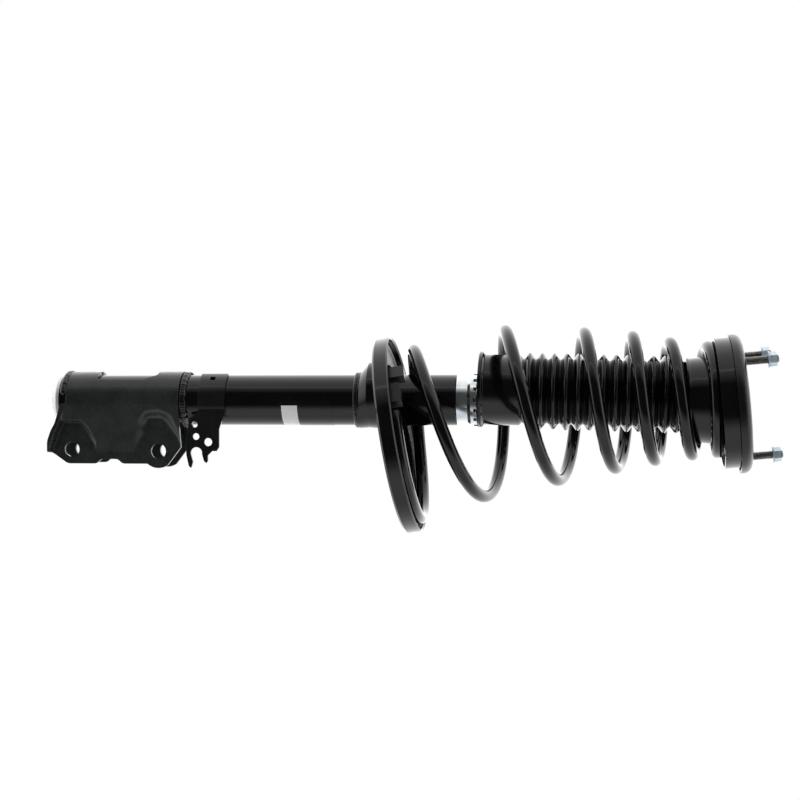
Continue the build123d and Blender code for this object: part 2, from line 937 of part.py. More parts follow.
with BuildPart() as mount_plate:
    with BuildSketch(section_of(mount_plane)):
        with BuildLine():
            Line((mount_r, -mount_drop), (mount_r, -mount_shoulder))
            RadiusArc(
                (mount_r, -mount_shoulder), (mount_r - mount_shoulder, 0), -mount_shoulder
            )
            Polyline(
                (mount_r - mount_shoulder, 0),
                (cup_r + 2, 0),
                (cup_r, -2),
                (cup_r, -cup_depth),
                (cup_r + plate_sheet, -cup_depth),
                (cup_r + plate_sheet, -plate_sheet),
                (mount_r - 6, -plate_sheet),
                (mount_r - 3, -7),
                (mount_r - 3, -mount_drop),
                (mount_r, -mount_drop),
            )
        make_face()
    revolve(axis=normal_of(mount_plane))
    with BuildSketch(mount_plane.offset(-10)):
        with Locations(*stud_places):
            Circle(stud_knurl_r + seated)
    extrude(amount=12, mode=Mode.SUBTRACT)
mount_plate.part.label = "mount_plate"
export_step(mount_plate.part, "parts/mount_plate.step")

sleeve_r = 11.0
sleeve_low = boss_z + hub_sheet + seated
sleeve_high = 664.0

with BuildPart() as mount_sleeve:
    add(ring(rod_neck_r + seated, sleeve_r, sleeve_low, sleeve_high))
mount_sleeve.part.label = "mount_sleeve"
export_step(mount_sleeve.part, "parts/mount_sleeve.step")

with BuildPart() as mount_rubber:
    add(
        turned(
            [
                (0, -cup_depth + 1),
                (cup_r - seated, -cup_depth + 1),
                (cup_r - seated, -3.5),
                (24, -7.5),
                (17, -10),
                (0, -10),
            ],
            section_of(mount_plane),
            normal_of(mount_plane),
        )
    )
    with BuildSketch(Plane.XY.offset(sleeve_low - 5)):
        with Locations((axis_x, 0)):
            Circle(sleeve_r + seated)
    extrude(amount=40, mode=Mode.SUBTRACT)
mount_rubber.part.label = "mount_rubber"
export_step(mount_rubber.part, "parts/mount_rubber.step")

with BuildPart() as rod_nut:
    with BuildSketch(Plane.XY.offset(sleeve_high + seated)):
        with Locations((axis_x, 0)):
            RegularPolygon(11, 6, major_radius=False)
            Circle(rod_neck_r + seated, mode=Mode.SUBTRACT)
    extrude(amount=9.5)
    with BuildSketch(Plane.XY.offset(sleeve_high + seated)):
        with Locations((axis_x, 0)):
            Circle(14)
            Circle(rod_neck_r + seated, mode=Mode.SUBTRACT)
    extrude(amount=2)
rod_nut.part.label = "rod_nut"
export_step(rod_nut.part, "parts/rod_nut.step")

with BuildPart() as mount_studs:
    with BuildSketch(mount_plane.offset(-plate_sheet - seated)):
        with Locations(*stud_places):
            Circle(stud_head_r)
    extrude(amount=-3)
    with BuildSketch(mount_plane.offset(-plate_sheet - 1)):
        with Locations(*stud_places):
            Circle(stud_knurl_r)
    extrude(amount=plate_sheet + 1.2)
    with BuildSketch(mount_plane):
        with Locations(*stud_places):
            Circle(stud_r)
    extrude(amount=stud_shank)
    with BuildSketch(mount_plane.offset(stud_shank - 1)):
        with Locations(*stud_places):
            Circle(thread_r)
    extrude(amount=stud_length - stud_shank + 1)
mount_studs.part.label = "mount_studs"
export_step(mount_studs.part, "parts/mount_studs.step")

with BuildPart() as stud_nuts:
    with BuildSketch(mount_plane.offset(nut_base)):
        with Locations(*stud_places):
            Circle(7.8)
    extrude(amount=1.6)
    with BuildSketch(mount_plane.offset(nut_base)):
        with Locations(*stud_places):
            RegularPolygon(6, 6, major_radius=False)
    extrude(amount=nut_top - nut_base)
    with BuildSketch(mount_plane.offset(nut_base - 1)):
        with Locations(*stud_places):
            Circle(thread_r + seated)
    extrude(amount=nut_top - nut_base + 2, mode=Mode.SUBTRACT)
stud_nuts.part.label = "stud_nuts"
export_step(stud_nuts.part, "parts/stud_nuts.step")
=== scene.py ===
import json
import random
from math import atan2, cos, pi, radians, sin, tan

import bmesh
import bpy
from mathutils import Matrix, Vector


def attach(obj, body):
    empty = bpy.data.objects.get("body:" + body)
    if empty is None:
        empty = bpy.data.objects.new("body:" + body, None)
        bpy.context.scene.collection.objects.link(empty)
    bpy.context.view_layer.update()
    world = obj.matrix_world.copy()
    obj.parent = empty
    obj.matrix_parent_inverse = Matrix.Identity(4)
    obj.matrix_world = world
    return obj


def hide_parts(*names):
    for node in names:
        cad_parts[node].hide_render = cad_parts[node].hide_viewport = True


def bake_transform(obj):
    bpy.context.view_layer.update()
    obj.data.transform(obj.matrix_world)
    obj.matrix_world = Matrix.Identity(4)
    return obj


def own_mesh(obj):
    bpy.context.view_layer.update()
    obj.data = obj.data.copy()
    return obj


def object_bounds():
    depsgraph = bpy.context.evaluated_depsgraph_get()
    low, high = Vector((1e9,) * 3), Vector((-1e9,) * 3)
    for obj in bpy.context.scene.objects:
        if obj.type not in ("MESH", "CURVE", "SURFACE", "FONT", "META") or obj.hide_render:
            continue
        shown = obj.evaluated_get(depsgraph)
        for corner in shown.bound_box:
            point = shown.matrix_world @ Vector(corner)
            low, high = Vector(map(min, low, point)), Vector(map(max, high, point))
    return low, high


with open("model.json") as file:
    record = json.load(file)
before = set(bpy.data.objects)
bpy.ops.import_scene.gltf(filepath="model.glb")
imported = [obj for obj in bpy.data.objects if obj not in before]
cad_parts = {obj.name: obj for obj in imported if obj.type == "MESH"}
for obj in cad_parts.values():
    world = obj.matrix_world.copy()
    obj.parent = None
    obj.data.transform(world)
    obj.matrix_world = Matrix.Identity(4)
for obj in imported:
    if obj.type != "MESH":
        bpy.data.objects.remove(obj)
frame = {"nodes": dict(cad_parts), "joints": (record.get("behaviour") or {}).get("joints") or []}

cad_low, cad_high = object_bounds()
nodes = frame["nodes"]
random.seed(7)

# Row frame in metres: +Z up the strut, +Y along the knuckle bolts, +X the way the ears point
MM = 0.001
AXIS_X = -50.0
TUBE_R = 25.5


# ---------------------------------------------------------------- materials

def link(tree, a, b):
    tree.links.new(a, b)


def value_node(tree, operation, a, b=None):
    """A Math node; a and b are sockets or numbers."""
    node = tree.nodes.new("ShaderNodeMath")
    node.operation = operation
    for i, v in enumerate((a, b)):
        if v is None:
            continue
        if isinstance(v, (int, float)):
            node.inputs[i].default_value = v
        else:
            link(tree, v, node.inputs[i])
    return node.outputs[0]


def noise(tree, coords, scale, detail=3.0, stretch=None):
    if stretch:
        mapping = tree.nodes.new("ShaderNodeMapping")
        mapping.inputs["Scale"].default_value = stretch
        link(tree, coords, mapping.inputs["Vector"])
        coords = mapping.outputs[0]
    node = tree.nodes.new("ShaderNodeTexNoise")
    node.inputs["Scale"].default_value = scale
    node.inputs["Detail"].default_value = detail
    link(tree, coords, node.inputs["Vector"])
    return node.outputs["Fac"]


def ramp(tree, fac, low, high, out_low=0.0, out_high=1.0):
    node = tree.nodes.new("ShaderNodeMapRange")
    node.inputs["From Min"].default_value = low
    node.inputs["From Max"].default_value = high
    node.inputs["To Min"].default_value = out_low
    node.inputs["To Max"].default_value = out_high
    link(tree, fac, node.inputs["Value"])
    return node.outputs[0]


def mix_colour(tree, fac, a, b):
    node = tree.nodes.new("ShaderNodeMix")
    node.data_type = "RGBA"
    if isinstance(fac, (int, float)):
        node.inputs["Factor"].default_value = fac
    else:
        link(tree, fac, node.inputs["Factor"])
    for i, c in ((6, a), (7, b)):
        if isinstance(c, tuple):
            node.inputs[i].default_value = (*c, 1)
        else:
            link(tree, c, node.inputs[i])
    return node.outputs[2]


def bump(tree, height, distance, strength=1.0, normal=None):
    node = tree.nodes.new("ShaderNodeBump")
    node.inputs["Distance"].default_value = distance
    node.inputs["Strength"].default_value = strength
    link(tree, height, node.inputs["Height"])
    if normal is not None:
        link(tree, normal, node.inputs["Normal"])
    return node.outputs[0]


def surface(
    name,
    colour,
    rough,
    *,
    metallic=0.0,
    specular=0.5,
    blotch=(60, 0.25),
    rough_vary=0.05,
    grain=(900, 0.00002),
    stretch=None,
    wear=None,
    round_mm=0.35,
    tint=None,
):
    """One procedural finish: colour and roughness that drift, a grain in the surface, softened edges."""
    m = bpy.data.materials.new(name)
    m.use_nodes = True
    t = m.node_tree
    shader = t.nodes["Principled BSDF"]
    coords = t.nodes.new("ShaderNodeTexCoord").outputs["Object"]
    drift = noise(t, coords, blotch[0], 4)
    dark = tuple(c * (1 - blotch[1]) for c in colour)
    light = tuple(min(c * (1 + blotch[1]), 1) for c in colour)
    col = mix_colour(t, ramp(t, drift, 0.3, 0.7), dark, light)
    if tint:
        col = mix_colour(t, ramp(t, noise(t, coords, tint[0], 2), 0.45, 0.7), col, tint[1])
    edge_normal = t.nodes.new("ShaderNodeBevel")
    edge_normal.samples = 4
    edge_normal.inputs["Radius"].default_value = round_mm * MM
    if wear:
        geometry = t.nodes.new("ShaderNodeNewGeometry")
        dot = t.nodes.new("ShaderNodeVectorMath")
        dot.operation = "DOT_PRODUCT"
        link(t, edge_normal.outputs[0], dot.inputs[0])
        link(t, geometry.outputs["Normal"], dot.inputs[1])
        patchy = ramp(t, noise(t, coords, 220, 3), 0.4, 0.7)
        worn = value_node(t, "MULTIPLY", ramp(t, dot.outputs["Value"], 0.995, 0.93), patchy)
        col = mix_colour(t, worn, col, wear)
    link(t, col, shader.inputs["Base Color"])
    fine = noise(t, coords, grain[0], 2, stretch)
    r = ramp(t, noise(t, coords, blotch[0] * 2.3, 3), 0.3, 0.7, rough - rough_vary, rough + rough_vary)
    link(t, r, shader.inputs["Roughness"])
    link(t, bump(t, fine, grain[1], 1.0, edge_normal.outputs[0]), shader.inputs["Normal"])
    shader.inputs["Metallic"].default_value = metallic
    shader.inputs["Specular IOR Level"].default_value = specular
    return m


gloss_paint = surface("gloss_black_paint", (0.0022, 0.0022, 0.0024), 0.08, grain=(420, 0.000002),
                      rough_vary=0.02, round_mm=0.5)
satin_paint = surface("satin_black_paint", (0.024, 0.0255, 0.026), 0.27, grain=(500, 0.000003),
                      wear=(0.1, 0.1, 0.102), round_mm=0.6)
seat_paint = surface("seat_black_paint", (0.0025, 0.0025, 0.0027), 0.08, grain=(300, 0.000003),
                     rough_vary=0.03, wear=(0.02, 0.02, 0.021), round_mm=0.6)
mount_coat = surface("mount_coating", (0.005, 0.005, 0.0053), 0.3, grain=(600, 0.00001),
                     wear=(0.04, 0.04, 0.042), round_mm=0.6)
spring_coat = surface("spring_coating", (0.0022, 0.0022, 0.0024), 0.07, grain=(220, 0.000004),
                      rough_vary=0.02)
weld_paint = surface("weld_paint", (0.006, 0.006, 0.0062), 0.12, grain=(420, 0.00012),
                     wear=(0.35, 0.35, 0.35))
hose_paint = surface("hose_bracket_paint", (0.009, 0.0095, 0.01), 0.1, grain=(600, 0.000006),
                     wear=(0.05, 0.05, 0.052), round_mm=0.5)
rubber = surface("rubber", (0.0035, 0.0035, 0.0035), 0.35, grain=(1500, 0.00001),
                 blotch=(90, 0.35), round_mm=0.8)
boot_rubber = surface("boot_rubber", (0.0026, 0.0026, 0.0028), 0.14, grain=(900, 0.000004),
                      blotch=(80, 0.3), rough_vary=0.04)
foam = surface("bumper_foam", (0.62, 0.55, 0.4), 0.8, grain=(1100, 0.00015), blotch=(120, 0.12))
zinc = surface("zinc_plate", (0.9, 0.92, 0.93), 0.17, metallic=1.0, grain=(700, 0.000004),
               blotch=(70, 0.08), rough_vary=0.05, tint=(60, (0.66, 0.76, 0.86)), round_mm=0.4)
nut_zinc = surface("nut_zinc", (0.6, 0.71, 0.79), 0.36, metallic=0.4, grain=(700, 0.000004),
                   blotch=(120, 0.1), rough_vary=0.05, round_mm=0.3)
stud_steel = surface("stud_steel", (0.2, 0.195, 0.19), 0.36, metallic=0.7, grain=(800, 0.00002),
                     blotch=(160, 0.3))
steel = surface("bright_steel", (0.55, 0.55, 0.56), 0.25, metallic=1.0, grain=(300, 0.00001),
                stretch=(1, 1, 14), round_mm=0.3)
chrome = surface("hard_chrome", (0.78, 0.79, 0.81), 0.07, metallic=1.0, grain=(500, 0.000002),
                 stretch=(1, 1, 9), rough_vary=0.03)
# Pale bright steel colour on the base cap is a painted highlight: it stands in for the white glare on the
# cap's domed end.
cap_painted_highlight = surface("cap_painted_highlight", (0.8, 0.8, 0.79), 0.5, metallic=0.6, grain=(500, 0.00002),
                     blotch=(90, 0.1))
iron = surface("sintered_iron", (0.13, 0.13, 0.125), 0.6, metallic=0.8, grain=(2200, 0.00006))
bronze = surface("bearing_bronze", (0.5, 0.3, 0.13), 0.35, metallic=1.0, grain=(900, 0.00002))
seal = surface("seal_plastic", (0.05, 0.05, 0.052), 0.45, grain=(900, 0.00001))


def label_material():
    """Gloss film with a plain white block near one end; nothing is written on it."""
    m = surface("label_film", (0.003, 0.003, 0.0032), 0.16, grain=(500, 0.000004), blotch=(40, 0.2))
    t = m.node_tree
    shader = t.nodes["Principled BSDF"]
    old = shader.inputs["Base Color"].links[0].from_socket
    position = t.nodes.new("ShaderNodeNewGeometry").outputs["Position"]
    split = t.nodes.new("ShaderNodeSeparateXYZ")
    link(t, position, split.inputs[0])
    x, z = split.outputs["X"], split.outputs["Z"]

    def between(v, low, high):
        above = value_node(t, "GREATER_THAN", v, low * MM)
        below = value_node(t, "LESS_THAN", v, high * MM)
        return value_node(t, "MULTIPLY", above, below)

    block = value_node(t, "MULTIPLY", between(z, 217, 233), between(x, AXIS_X + 5.5, AXIS_X + 40))
    link(t, mix_colour(t, block, old, (0.8, 0.8, 0.79)), shader.inputs["Base Color"])
    return m


label_film = label_material()

finish_of = {
    gloss_paint: ["outer_tube"],
    satin_paint: ["knuckle_bracket"],
    hose_paint: ["brake_hose_bracket"],
    # base cap: pale steel colour used as a painted highlight
    cap_painted_highlight: ["base_cap"],
    seat_paint: ["lower_spring_seat", "upper_spring_seat"],
    weld_paint: ["bracket_weld", "seat_weld"],
    mount_coat: ["mount_plate"],
    spring_coat: ["coil_spring"],
    rubber: ["lower_spring_insulator", "upper_spring_insulator", "mount_rubber", "oil_seal"],
    boot_rubber: ["dust_boot"],
    foam: ["jounce_bumper"],
    zinc: ["bump_cap", "rod_nut", "rod_washer"],
    nut_zinc: ["stud_nuts"],
    stud_steel: ["mount_studs"],
    steel: [
        "inner_cylinder", "base_valve_pin", "base_check_plate", "piston_check_plate",
        "piston_shims", "piston_nut", "rebound_stop", "mount_sleeve",
    ],
    chrome: ["piston_rod"],
    iron: ["base_valve_body", "rod_guide", "piston"],
    bronze: ["rod_guide_bush"],
    seal: ["piston_ring", "rebound_cushion"],
    label_film: ["tube_label"],
}
for finish, names in finish_of.items():
    for name in names:
        slots = nodes[name].data.materials
        slots.clear()
        slots.append(finish)


# ---------------------------------------------------------------- mesh helpers

def make_object(name, points, faces, finish, smooth=radians(35)):
    """A mesh piece from points in millimetres."""
    mesh = bpy.data.meshes.new(name)
    mesh.from_pydata([[c * MM for c in p] for p in points], [], faces)
    mesh.validate()
    mesh.update()
    obj = bpy.data.objects.new(name, mesh)
    bpy.context.scene.collection.objects.link(obj)
    mesh.materials.append(finish)
    tidy_normals(obj, smooth)
    return obj


def tidy_normals(obj, smooth=radians(35)):
    work = bmesh.new()
    work.from_mesh(obj.data)
    bmesh.ops.recalc_face_normals(work, faces=work.faces)
    work.to_mesh(obj.data)
    work.free()
    obj.data.shade_smooth()
    obj.data.set_sharp_from_angle(angle=smooth)


def ring_faces(rows, columns):
    """Quads between rings of points; each ring is closed."""
    faces = []
    for i in range(rows - 1):
        for j in range(columns):
            k = (j + 1) % columns
            n = i + 1
            faces.append((i * columns + j, i * columns + k, n * columns + k, n * columns + j))
    return faces


def piece(obj, node, body):
    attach(obj, body)
    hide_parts(node)


def smooth_step(v, low, high):
    share = min(max((v - low) / (high - low), 0), 1)
    return share * share * (3 - 2 * share)


def leaning_axes(tilt, lean):
    """Unit x, y and normal of a plane whose normal leans towards -X by tilt and -Y by lean."""
    n = Vector((-tilt, -lean, 1)).normalized()
    x = Vector((1, 0, tilt)).normalized()
    return x, n.cross(x), n


# ---------------------------------------------------------------- knuckle bracket

SHEET = 3.5
WRAP_R = TUBE_R + SHEET
BOLTS = ((0.0, 0.0), (1.6, 90.0))
PAD = 18.5
# Where the ears leave the wrap, and where the bulge between the pads has died out
EAR_ROOT_X, EAR_ROOT_Y = -43.7, 28.3
BULGE_END_X = 3.0
# Flat pads round the two bolt holes, and the outer lines of the pressed steps round them, as (x, z)
PAD_1 = [(-27, -40), (-27, 9.5), (-17.5, 15.5), (-6, 22.2), (0, 24), (40, 45), (40, -40)]
STEP_1 = [(-29, -40), (-30, 10.5), (-21.5, 19), (-8, 26.5), (0, 26), (40, 47), (40, -40)]
PAD_2 = [(0, 66), (-17, 79), (-31, 80.5), (-31, 93.5), (-12, 109), (-4, 113), (20, 130), (40, 130), (40, 40)]
STEP_2 = [(0, 64.5), (-8, 65), (-28, 69), (-39, 78), (-41, 92), (-35, 106), (-15, 114), (-4, 115),
          (20, 132), (42, 130), (42, 38)]


def edge_distance(x, z, polygon):
    """Distance from a point to a polygon's edge, negative inside it."""
    inside = False
    best = 1e9
    for i, (ax, az) in enumerate(polygon):
        bx, bz = polygon[(i + 1) % len(polygon)]
        if (az > z) != (bz > z) and x < (bx - ax) * (z - az) / (bz - az) + ax:
            inside = not inside
        dx, dz = bx - ax, bz - az
        share = min(max(((x - ax) * dx + (z - az) * dz) / (dx * dx + dz * dz), 0), 1)
        best = min(best, ((x - ax - share * dx) ** 2 + (z - az - share * dz) ** 2) ** 0.5)
    return -best if inside else best


def step_share(x, z, pad, step):
    """0 on a pad, 1 beyond its pressed step, and smooth between."""
    inner, outer = edge_distance(x, z, pad), edge_distance(x, z, step)
    if inner <= 0:
        return 0
    if outer >= 0:
        return 1
    return smooth_step(inner / (inner - outer), 0, 1)


# Along the ears' lower side the sheet turns outwards below this line, as (x, z)
FLANGE_ROOT = [(-60, -4), (-42, -4.5), (-27.4, -8.2), (-17, -13.2), (-2.4, -18.4), (3, -18.6), (4.2, -60)]


def flange_share(x, z):
    """0 on the ear, 1 on the flange along its lower side."""
    for (ax, az), (bx, bz) in zip(FLANGE_ROOT, FLANGE_ROOT[1:]):
        if x <= bx:
            break
    root = az + (bz - az) * min((x - ax) / (bx - ax), 1)
    return smooth_step(root - z, 0, 2.6)


def ear_face(x, z):
    """How far the ear's outer face stands from the middle plane."""
    bulge = PAD + (EAR_ROOT_Y - PAD) * (1 - min((x - EAR_ROOT_X) / (BULGE_END_X - EAR_ROOT_X), 1))
    face = PAD + (bulge - PAD) * step_share(x, z, PAD_1, STEP_1) * step_share(x, z, PAD_2, STEP_2)
    return face + (EAR_ROOT_Y - face) * flange_share(x, z)


def bracket_sheet():
    """The whole pressed sheet, before its outline, holes and window are cut."""
    ear_steps, wrap_steps, free_end = 60, 34, 24.0
    first = atan2(EAR_ROOT_Y, EAR_ROOT_X - AXIS_X)
    levels = [-26 + 0.4 * i for i in range(52)]
    while levels[-1] < 117:
        levels.append(levels[-1] + 1.15)
    outer, inner = [], []
    for z in levels:
        out_half, in_half = [], []
        for j in range(ear_steps):
            x = free_end - (free_end - EAR_ROOT_X) * j / ear_steps
            y = ear_face(x, z)
            out_half.append((x, y, z))
            in_half.append((x, y - SHEET, z))
        for j in range(wrap_steps + 1):
            a = first + (pi - first) * j / wrap_steps
            out_half.append((AXIS_X + WRAP_R * cos(a), WRAP_R * sin(a), z))
            in_half.append((AXIS_X + (TUBE_R + 0.03) * cos(a), (TUBE_R + 0.03) * sin(a), z))
        for half, side in ((out_half, outer), (in_half, inner)):
            side += half + [(x, -y, h) for x, y, h in reversed(half[:-1])]
    rows = len(levels)
    columns = len(outer) // rows
    count = len(outer)

    def at(i, j, side):
        return i * columns + j + side * count

    faces = []
    for i in range(rows - 1):
        for j in range(columns - 1):
            faces.append((at(i, j, 0), at(i, j + 1, 0), at(i + 1, j + 1, 0), at(i + 1, j, 0)))
            faces.append((at(i, j, 1), at(i + 1, j, 1), at(i + 1, j + 1, 1), at(i, j + 1, 1)))
    for i in range(rows - 1):
        for j in (0, columns - 1):
            faces.append((at(i, j, 0), at(i + 1, j, 0), at(i + 1, j, 1), at(i, j, 1)))
    for j in range(columns - 1):
        for i in (0, rows - 1):
            faces.append((at(i, j, 0), at(i, j + 1, 0), at(i, j + 1, 1), at(i, j, 1)))
    return make_object("knuckle_bracket_sheet", outer + inner, faces, satin_paint)


def apply_modifier(obj, kind, **settings):
    mod = obj.modifiers.new(kind.lower(), kind)
    for key, v in settings.items():
        setattr(mod, key, v)
    bpy.context.view_layer.objects.active = obj
    for o in bpy.context.selected_objects:
        o.select_set(False)
    obj.select_set(True)
    bpy.ops.object.modifier_apply(modifier=mod.name)


def prism(outline, across, low, high):
    """A closed prism of an outline, along Y for across 'y' (x, z points) or along X for 'x' (y, z points)."""
    count = len(outline)
    order = (lambda a, b, d: (a, d, b)) if across == "y" else (lambda a, b, d: (d, a, b))
    points = [order(a, b, d) for d in (low, high) for a, b in outline]
    faces = [tuple(range(count)), tuple(range(2 * count - 1, count - 1, -1))]
    faces += [(i, (i + 1) % count, count + (i + 1) % count, count + i) for i in range(count)]
    return make_object("cutter", points, faces, satin_paint)


def circle_outline(x, z, r, count=64):
    return [(x + r * cos(2 * pi * i / count), z + r * sin(2 * pi * i / count)) for i in range(count)]


def arc(x, z, r, first, last, steps=16):
    return [
        (x + r * cos(radians(first + (last - first) * i / steps)),
         z + r * sin(radians(first + (last - first) * i / steps)))
        for i in range(steps + 1)
    ]


def rounded(outline, r=2.0, steps=4, closed=True):
    """The outline with its corners rounded by short arcs; an open one keeps its two ends."""
    result = []
    for i, corner in enumerate(outline):
        if not closed and i in (0, len(outline) - 1):
            result.append(corner)
            continue
        p = Vector(corner)
        a = Vector(outline[i - 1]) - p
        b = Vector(outline[(i + 1) % len(outline)]) - p
        cut = min(r, a.length * 0.45, b.length * 0.45)
        start, end = p + a.normalized() * cut, p + b.normalized() * cut
        for k in range(steps + 1):
            s = k / steps
            q = start * (1 - s) ** 2 + p * 2 * s * (1 - s) + end * s * s
            result.append((q.x, q.y))
    return result


def cut(obj, cutter, operation):
    apply_modifier(obj, "BOOLEAN", object=cutter, operation=operation, solver="EXACT")
    bpy.data.objects.remove(cutter)


EAR_OUTLINE = rounded(
    [(-100, -3.5), (-47, -3.5), (-45.5, -10), (-35.5, -12.4), (-26, -15.2), (-20, -18.9), (-8.6, -22.9),
     (2.6, -22.9), (4.4, -18.6), (14.3, -4.5), (14.3, 26), (9.7, 30), (9.7, 48), (14.3, 52.5), (14.3, 78)],
    3, closed=False
)
EAR_OUTLINE += arc(1.6, 90, 17, -41, 33, 20)
EAR_OUTLINE += [(-2.2, 113), (-100, 113)]

bracket = bracket_sheet()
cut(bracket, prism(EAR_OUTLINE, "y", -70, 70), "INTERSECT")
for bolt_x, bolt_z in BOLTS:
    cut(bracket, prism(circle_outline(bolt_x, bolt_z, 7.75), "y", -70, 70), "DIFFERENCE")
window = rounded([(-20, 26), (20, 26), (20, 76), (14, 88), (-14, 88), (-20, 76)], 3)
cut(bracket, prism(window, "x", -95, -65), "DIFFERENCE")
cut(bracket, prism(circle_outline(0, 22, 4.5, 32), "x", -95, -65), "DIFFERENCE")
tidy_normals(bracket)
piece(bracket, "knuckle_bracket", "strut_body")


# ---------------------------------------------------------------- weld beads

def bead(radius, z, width, first, last, ripple=2.6):
    """Points and faces of a ripple-marked weld bead round the tube, between two angles in degrees."""
    length = radius * radians(last - first)
    steps = int(length / 0.45)
    sides = 12
    points = []
    wander = [random.uniform(-1, 1) for _ in range(steps // 6 + 3)]
    for i in range(steps + 1):
        share = i / steps
        a = radians(first + (last - first) * share)
        k = i / 6
        drift = wander[int(k)] * (1 - k % 1) + wander[int(k) + 1] * (k % 1)
        phase = (length * share / ripple) % 1
        crest = 1 - 0.2 * (2 * phase - 1) ** 2
        taper = smooth_step(min(i, steps - i), -4, 8)
        w = width * (1 + 0.12 * drift) * taper
        for j in range(sides):
            b = 2 * pi * j / sides
            r = radius + w * 0.7 * cos(b) * crest
            points.append((AXIS_X + r * cos(a), r * sin(a), z + 0.3 * drift + w * sin(b)))
    faces = ring_faces(steps + 1, sides)
    faces += [tuple(range(sides))[::-1], tuple(steps * sides + j for j in range(sides))]
    return points, faces


def weld(name, node, beads):
    points, faces = [], []
    for more_points, more_faces in beads:
        base = len(points)
        points += more_points
        faces += [tuple(base + v for v in f) for f in more_faces]
    obj = make_object(name, points, faces, weld_paint, radians(60))
    piece(obj, node, "strut_body")


upper_bead = bead(26.3, 116.4, 3.9, -178, 178)
lower_bead = bead(28.2, -6.6, 3.0, 100, 260)
weld("bracket_weld_beads", "bracket_weld", [upper_bead, lower_bead])
weld("seat_weld_bead", "seat_weld", [bead(26.6, 291.1, 2.2, -178, 178)])


# ---------------------------------------------------------------- coil spring

def half_cosine(turn, start, end):
    """Falls smoothly from 1 at start to 0 at end."""
    return (1 + cos(pi * min(max((turn - start) / (end - start), 0), 1))) / 2


def mix(low, high, share):
    return low + (high - low) * share


FIRST_TURN, LAST_TURN = 0.2, 6.6
SEAT_Z, WIRE_OVER_SEAT = 325.4, 15.1
SEAT_R, TOP_R = 81, 50.6
SEAT_SHIFT = 36.2
SEAT_TILT = tan(radians(9.4))
# Rise per turn low down and high up, and the extra rise where the wire leaves its seat
LOWER_PITCH, UPPER_PITCH, SEAT_STEP = 35.75, 81, 22
TRAVEL = frame["joints"][0]["range_m"][1] / MM


def active(turn):
    """1 where the wire is clear of both seats, 0 where it lies on one."""
    return (1 - half_cosine(turn, 0.68, 0.88)) * half_cosine(turn, 6.0, 6.3)


def coil_pitch(turn):
    pitch = mix(LOWER_PITCH, UPPER_PITCH, half_cosine(turn, 1.8, 4.25))
    return (pitch + SEAT_STEP * half_cosine(turn, 1.0, 1.3)) * active(turn)


def closed_pitch(turn, least):
    """Pitch when the rod is right in: near even, more open at both ends."""
    lower = 7 * half_cosine(turn, 1.5, 2.3) + 26 * half_cosine(turn, 1.05, 1.35)
    return (least + lower + 5 * (1 - half_cosine(turn, 4.8, 5.6))) * active(turn)


def coil_rings(per_turn=90):
    steps = round((LAST_TURN - FIRST_TURN) * per_turn)
    step = (LAST_TURN - FIRST_TURN) / steps
    turns = [FIRST_TURN + i * step for i in range(steps + 1)]
    drop_at_zero = sum((coil_pitch(t) - closed_pitch(t, 0)) * step for t in turns)
    room = sum(active(t) * step for t in turns)
    least = (drop_at_zero - TRAVEL) / room
    height, moved = SEAT_Z + WIRE_OVER_SEAT, 0.0
    centres, shares = [], []
    for t in turns:
        on_seat = half_cosine(t, 0.6, 1.0)
        radius = mix(TOP_R, SEAT_R, half_cosine(t, 0.3, 6.75))
        free_shift = 34.5 * half_cosine(t, 0.3, 2.2) + 6.3 * half_cosine(t, 2.2, 3.9)
        shift = mix(free_shift, SEAT_SHIFT, on_seat)
        tilt = mix(tan(radians(2.2 + 9.8 * half_cosine(t, 0.6, 3.4))), SEAT_TILT, on_seat)
        lean = mix(tan(radians(2.7 + 1.5 * half_cosine(t, 3.0, 6.5))), 0, on_seat)
        x, y = -radius * cos(2 * pi * t), -radius * sin(2 * pi * t)
        centres.append(Vector((AXIS_X + shift + x, y, height + x * tilt + y * lean)))
        shares.append(moved / TRAVEL)
        middle = t + step / 2
        height += coil_pitch(middle) * step
        moved += (coil_pitch(middle) - closed_pitch(middle, least)) * step
    return centres, [min(max(s, 0), 1) for s in shares]


def coil_spring(sides=20, wire_r=6.48):
    centres, shares = coil_rings()
    points, weights = [], []
    count = len(centres)
    for i, c in enumerate(centres):
        along = (centres[min(i + 1, count - 1)] - centres[max(i - 1, 0)]).normalized()
        out = along.cross(Vector((0, 0, 1))).normalized()
        up = out.cross(along)
        r = wire_r - 0.6 if i in (0, count - 1) else wire_r
        for j in range(sides):
            b = 2 * pi * j / sides
            points.append(c + out * r * cos(b) + up * r * sin(b))
            weights.append(shares[i])
    faces = ring_faces(count, sides)
    faces += [tuple(range(sides))[::-1], tuple((count - 1) * sides + j for j in range(sides))]
    obj = make_object("coil_spring_wire", points, faces, spring_coat, radians(50))
    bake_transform(obj)
    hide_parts("coil_spring")


coil_spring()


# ---------------------------------------------------------------- dust boot

